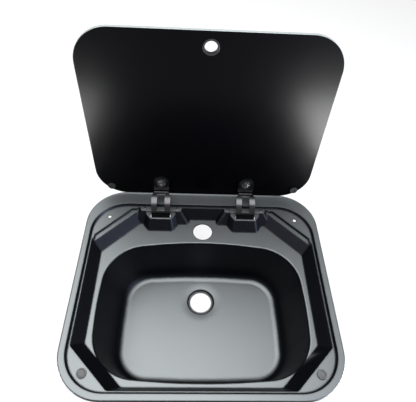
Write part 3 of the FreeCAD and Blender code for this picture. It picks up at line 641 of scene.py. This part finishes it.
@dataclass
class TurnedHeads:
    """A set of equal heads on one body, crowning the bare ends of its fasteners."""

    name: str
    body: Body
    slot: str
    finish: bpy.types.Material
    places: tuple[Vector, ...]
    radius: float
    height: float
    facing: Vector = field(default_factory=UP.copy)
    sunk: float = 0.0
    squareness: float = 2.0
    dimple: float = 0.0
    crease_deg: float = 40.0

    def build(self, tree: HeadTree) -> bpy.types.Object:
        """Makes the heads, each sunk a little into the end that it crowns.

        Args:
            tree: the Geometry Nodes tree.

        Returns:
            The new piece.
        """
        seed = bpy.data.meshes.new(self.name + "_points")
        seed.from_pydata([tuple(place - self.sunk * self.facing) for place in self.places], [], [])
        turn = self.facing.to_track_quat("Z", "Y").to_euler()
        carrier = bpy.data.objects.new(self.name + "_carrier", seed)
        bpy.context.scene.collection.objects.link(carrier)
        modifier = carrier.modifiers.new("heads", "NODES")
        modifier.node_group = tree.tree
        for name, value in (("Radius", self.radius), ("Height", self.height), ("Squareness", self.squareness),
                            ("Dimple", self.dimple), ("Turn", tuple(turn)), ("Finish", self.finish)):
            modifier[tree.ids[name]] = value
        graph = bpy.context.evaluated_depsgraph_get()
        mesh = bpy.data.meshes.new_from_object(carrier.evaluated_get(graph))
        carrier.modifiers.remove(modifier)
        bpy.data.objects.remove(carrier)
        mesh.name = self.name
        mesh.shade_smooth()
        mesh.set_sharp_from_angle(angle=math.radians(self.crease_deg))
        return add_piece(self.name, mesh, self.body)


# ---- sub-assemblies ----------------------------------------------------------------------------------------
@dataclass
class SinkBody:
    """The pressing, its seal and the parts fixed to them."""

    rivet_radius: float = 0.0028
    rivet_height: float = 0.0013
    rivet_seat: float = 0.001
    rivet_squareness: float = 2.3
    rivet_dimple: float = 0.0002
    pressing_crease_deg: float = 22.0

    def build(self, heads: HeadTree) -> None:
        """Dresses every piece of the sink's body.

        Args:
            heads: the tree that makes the crowns.
        """
        steel = SINK_STEEL.material()
        bracket = BRACKET_STEEL.material()
        pin = PIN_STEEL.material()
        rivet = RIVET_STEEL.material()
        buffer = BUFFER_RUBBER.material()
        DressedNode("sink_pressing", Body.SINK, "sink_coat", steel, self.pressing_crease_deg).build()
        DressedNode("rim_seal", Body.SINK, "seal_foam", SEAL_FOAM.material()).build()
        for side in SIDES:
            DressedNode("hinge_bracket_" + side, Body.SINK, "bracket_coat", bracket).build()
            DressedNode("hinge_pin_" + side, Body.SINK, "pin_steel", pin).build()
            DressedNode("pin_clip_" + side, Body.SINK, "clip_steel", pin).build()
            DressedNode("bracket_rivets_" + side, Body.SINK, "rivet_coat", rivet).build()
            CuppedButton("front_buffer_" + side, Body.SINK, "buffer_rubber", buffer).build()
        places = tuple(end_centre("bracket_rivets_" + side, UP, half) for side in SIDES for half in (-1, 1))
        TurnedHeads("rivet_heads", Body.SINK, "rivet_coat", rivet, places, self.rivet_radius,
                    self.rivet_height, sunk=self.rivet_seat, squareness=self.rivet_squareness,
                    dimple=self.rivet_dimple).build(heads)


@dataclass
class LidBody:
    """The glass lid, its finger ring, its hinge arms and the fasteners between them."""

    tip_radius: float = 0.0027
    tip_height: float = 0.0009
    cap_radius: float = 0.0078
    cap_height: float = 0.0006
    tip_squareness: float = 2.6
    cap_squareness: float = 5.0
    cap_dimple: float = 0.0003

    def build(self, heads: HeadTree) -> None:
        """Dresses every piece that swings with the lid.

        Args:
            heads: the tree that makes the crowns.
        """
        arm = HINGE_STEEL.material()
        rubber = BLACK_RUBBER.material()
        nut = NUT_STEEL.material()
        GlassLid("glass_lid", Body.LID, "lid_glass", INNER_ENAMEL.material(),
                 outer_finish=OUTER_GLASS.material(), edge_finish=GROUND_EDGE.material()).build()
        DressedNode("finger_ring", Body.LID, "ring_plastic", RING_PLASTIC.material()).build()
        for side in SIDES:
            DressedNode("hinge_arm_" + side, Body.LID, "arm_coat", arm).build()
            DressedNode("plate_pad_" + side, Body.LID, "pad_rubber", rubber).build()
            DressedNode("bolt_grommet_" + side, Body.LID, "grommet_rubber", rubber).build()
            DressedNode("plate_bolt_" + side, Body.LID, "bolt_coat", arm).build()
            DressedNode("plate_washer_" + side, Body.LID, "washer_coat", nut).build()
            DressedNode("plate_nut_" + side, Body.LID, "nut_coat", nut).build()
            CuppedButton("lid_buffer_" + side, Body.LID, "lid_buffer_rubber", rubber,
                         facing=LID_INWARD).build()
        bolts = ["plate_bolt_" + side for side in SIDES]
        tips = tuple(end_centre(bolt, LID_INWARD) for bolt in bolts)
        caps = tuple(end_centre(bolt, -LID_INWARD) for bolt in bolts)
        TurnedHeads("bolt_tips", Body.LID, "bolt_coat", nut, tips, self.tip_radius, self.tip_height,
                    facing=LID_INWARD, squareness=self.tip_squareness).build(heads)
        TurnedHeads("cap_crowns", Body.LID, "bolt_coat", arm, caps, self.cap_radius, self.cap_height,
                    facing=-LID_INWARD, squareness=self.cap_squareness, dimple=self.cap_dimple).build(heads)


# ---- studio ------------------------------------------------------------------------------------------------
@dataclass(frozen=True)
class SoftLight:
    """A rectangular soft light; it faces down unless told otherwise."""

    name: str
    place: tuple[float, float, float]
    width: float
    depth: float
    watts: float
    facing: tuple[float, float, float] = (0.0, 0.0, -1.0)
    turn_deg: float = 0.0
    tint: Colour = (1.0, 1.0, 1.0)

    def build(self) -> None:
        """Hangs the light; it lights and reflects, but isn't seen itself."""
        data = bpy.data.lights.new(self.name, "AREA")
        data.shape = "RECTANGLE"
        data.size = self.width
        data.size_y = self.depth
        data.energy = self.watts
        data.color = self.tint
        lamp = bpy.data.objects.new(self.name, data)
        lamp.location = self.place
        spin = Euler((0.0, 0.0, math.radians(self.turn_deg))).to_quaternion()
        turn = Vector(self.facing).to_track_quat("-Z", "Y") @ spin
        lamp.rotation_euler = turn.to_euler()
        lamp.visible_camera = False
        bpy.context.scene.collection.objects.link(lamp)


@dataclass
class Studio:
    """Plain pale floor under a dim surround, with four soft lights: overhead, side and two low cards."""

    floor_half: float = 6.0
    floor_albedo: float = 0.9
    floor_glow: float = 0.6
    surround: float = 0.34
    lights: tuple[SoftLight, ...] = (
        SoftLight("top_light", (-0.33, 0.2, 1.4), 1.7, 1.8, 41.0, turn_deg=18.0),
        SoftLight("right_card", (0.5, -0.29, -0.112), 0.36, 0.34, 33.0, facing=(0.0, 0.0, 1.0)),
        SoftLight("left_card", (-0.5, -0.29, -0.112), 0.36, 0.34, 18.0, facing=(0.0, 0.0, 1.0)),
        SoftLight("window_light", (1.2, -0.58, 0.5), 0.6, 0.6, 20.0, facing=(-1.0, 0.5, -0.35),
                  tint=(0.8, 0.87, 1.0)))

    def build(self) -> None:
        """Makes the floor, the lights and the world."""
        self._floor()
        self._world()
        for light in self.lights:
            light.build()

    def _floor(self) -> None:
        """A pale floor at the foot of the object; it looks white and still takes the object's shadow."""
        low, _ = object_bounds()
        reach = self.floor_half
        mesh = bpy.data.meshes.new("studio_floor")
        signs = ((-1, -1), (1, -1), (1, 1), (-1, 1))
        corners = [(across * reach, along * reach, low.z) for across, along in signs]
        mesh.from_pydata(corners, [], [(0, 1, 2, 3)])
        floor = bpy.data.objects.new("studio_floor", mesh)
        bpy.context.scene.collection.objects.link(floor)
        floor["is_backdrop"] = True
        paper = bpy.data.materials.new("floor_paper")
        paper.use_nodes = True
        paper.node_tree.nodes.clear()
        graph = Graph(paper.node_tree)
        albedo = self.floor_albedo
        matt = graph.wire("ShaderNodeBsdfDiffuse", None, {"Color": (albedo, albedo, albedo, 1.0)})
        glow = graph.wire("ShaderNodeEmission", None, {"Color": (1.0, 1.0, 1.0, 1.0), "Strength": 1.0})
        path = graph.node("ShaderNodeLightPath")
        seen = Wire(graph, path.outputs["Is Camera Ray"]).most(Wire(graph, path.outputs["Is Glossy Ray"]))
        seen = seen.most(Wire(graph, path.outputs["Is Transmission Ray"]))
        mixed = graph.wire("ShaderNodeMixShader", None, {0: seen * self.floor_glow, 1: matt, 2: glow})
        graph.node("ShaderNodeOutputMaterial", None, {"Surface": mixed})
        mesh.materials.append(paper)

    def _world(self) -> None:
        """An even, dim surround."""
        world = bpy.data.worlds.new("surround")
        world.use_nodes = True
        world.node_tree.nodes.clear()
        graph = Graph(world.node_tree)
        shade = graph.wire("ShaderNodeBackground", None, {
            "Color": (1.0, 1.0, 1.0, 1.0), "Strength": self.surround})
        graph.node("ShaderNodeOutputWorld", None, {"Surface": shade})
        bpy.context.scene.world = world


@dataclass
class PhotoCamera:
    """The camera of the photograph, worked out from the rim, the lid, the holes and the buffers."""

    place: tuple[float, float, float] = (-0.02278, -0.31805, 0.59834)
    tilt_down_deg: float = 50.79
    yaw_deg: float = 3.8
    roll_deg: float = 4.3
    lens_mm: float = 34.87
    sensor_mm: float = 36.0
    clip_start: float = 0.01

    def build(self) -> None:
        """Makes the camera and sets it as the scene's."""
        tilt, yaw, roll = (math.radians(angle) for angle in (self.tilt_down_deg, self.yaw_deg, self.roll_deg))
        forward = Vector((math.sin(yaw) * math.cos(tilt), math.cos(yaw) * math.cos(tilt), -math.sin(tilt)))
        level = Vector((math.cos(yaw), -math.sin(yaw), 0.0))
        up = level.cross(forward)
        across = math.cos(roll) * level + math.sin(roll) * up
        upright = -math.sin(roll) * level + math.cos(roll) * up
        turn = Matrix((across, upright, -forward)).transposed()
        data = bpy.data.cameras.new("photo_camera")
        data.lens = self.lens_mm
        data.sensor_width = self.sensor_mm
        data.sensor_fit = "HORIZONTAL"
        data.clip_start = self.clip_start
        camera = bpy.data.objects.new("photo_camera", data)
        camera.matrix_world = Matrix.Translation(self.place) @ turn.to_4x4()
        bpy.context.scene.collection.objects.link(camera)
        bpy.context.scene.camera = camera


def main() -> None:
    """Builds the sub-assemblies, the studio and the camera."""
    logging.basicConfig(level=logging.INFO, format="%(name)s %(message)s")
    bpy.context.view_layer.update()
    heads = HeadTree()
    SinkBody().build(heads)
    LidBody().build(heads)
    Studio().build()
    PhotoCamera().build()
    bpy.context.scene.view_settings.view_transform = "Standard"


if __name__ == "__main__":
    main()
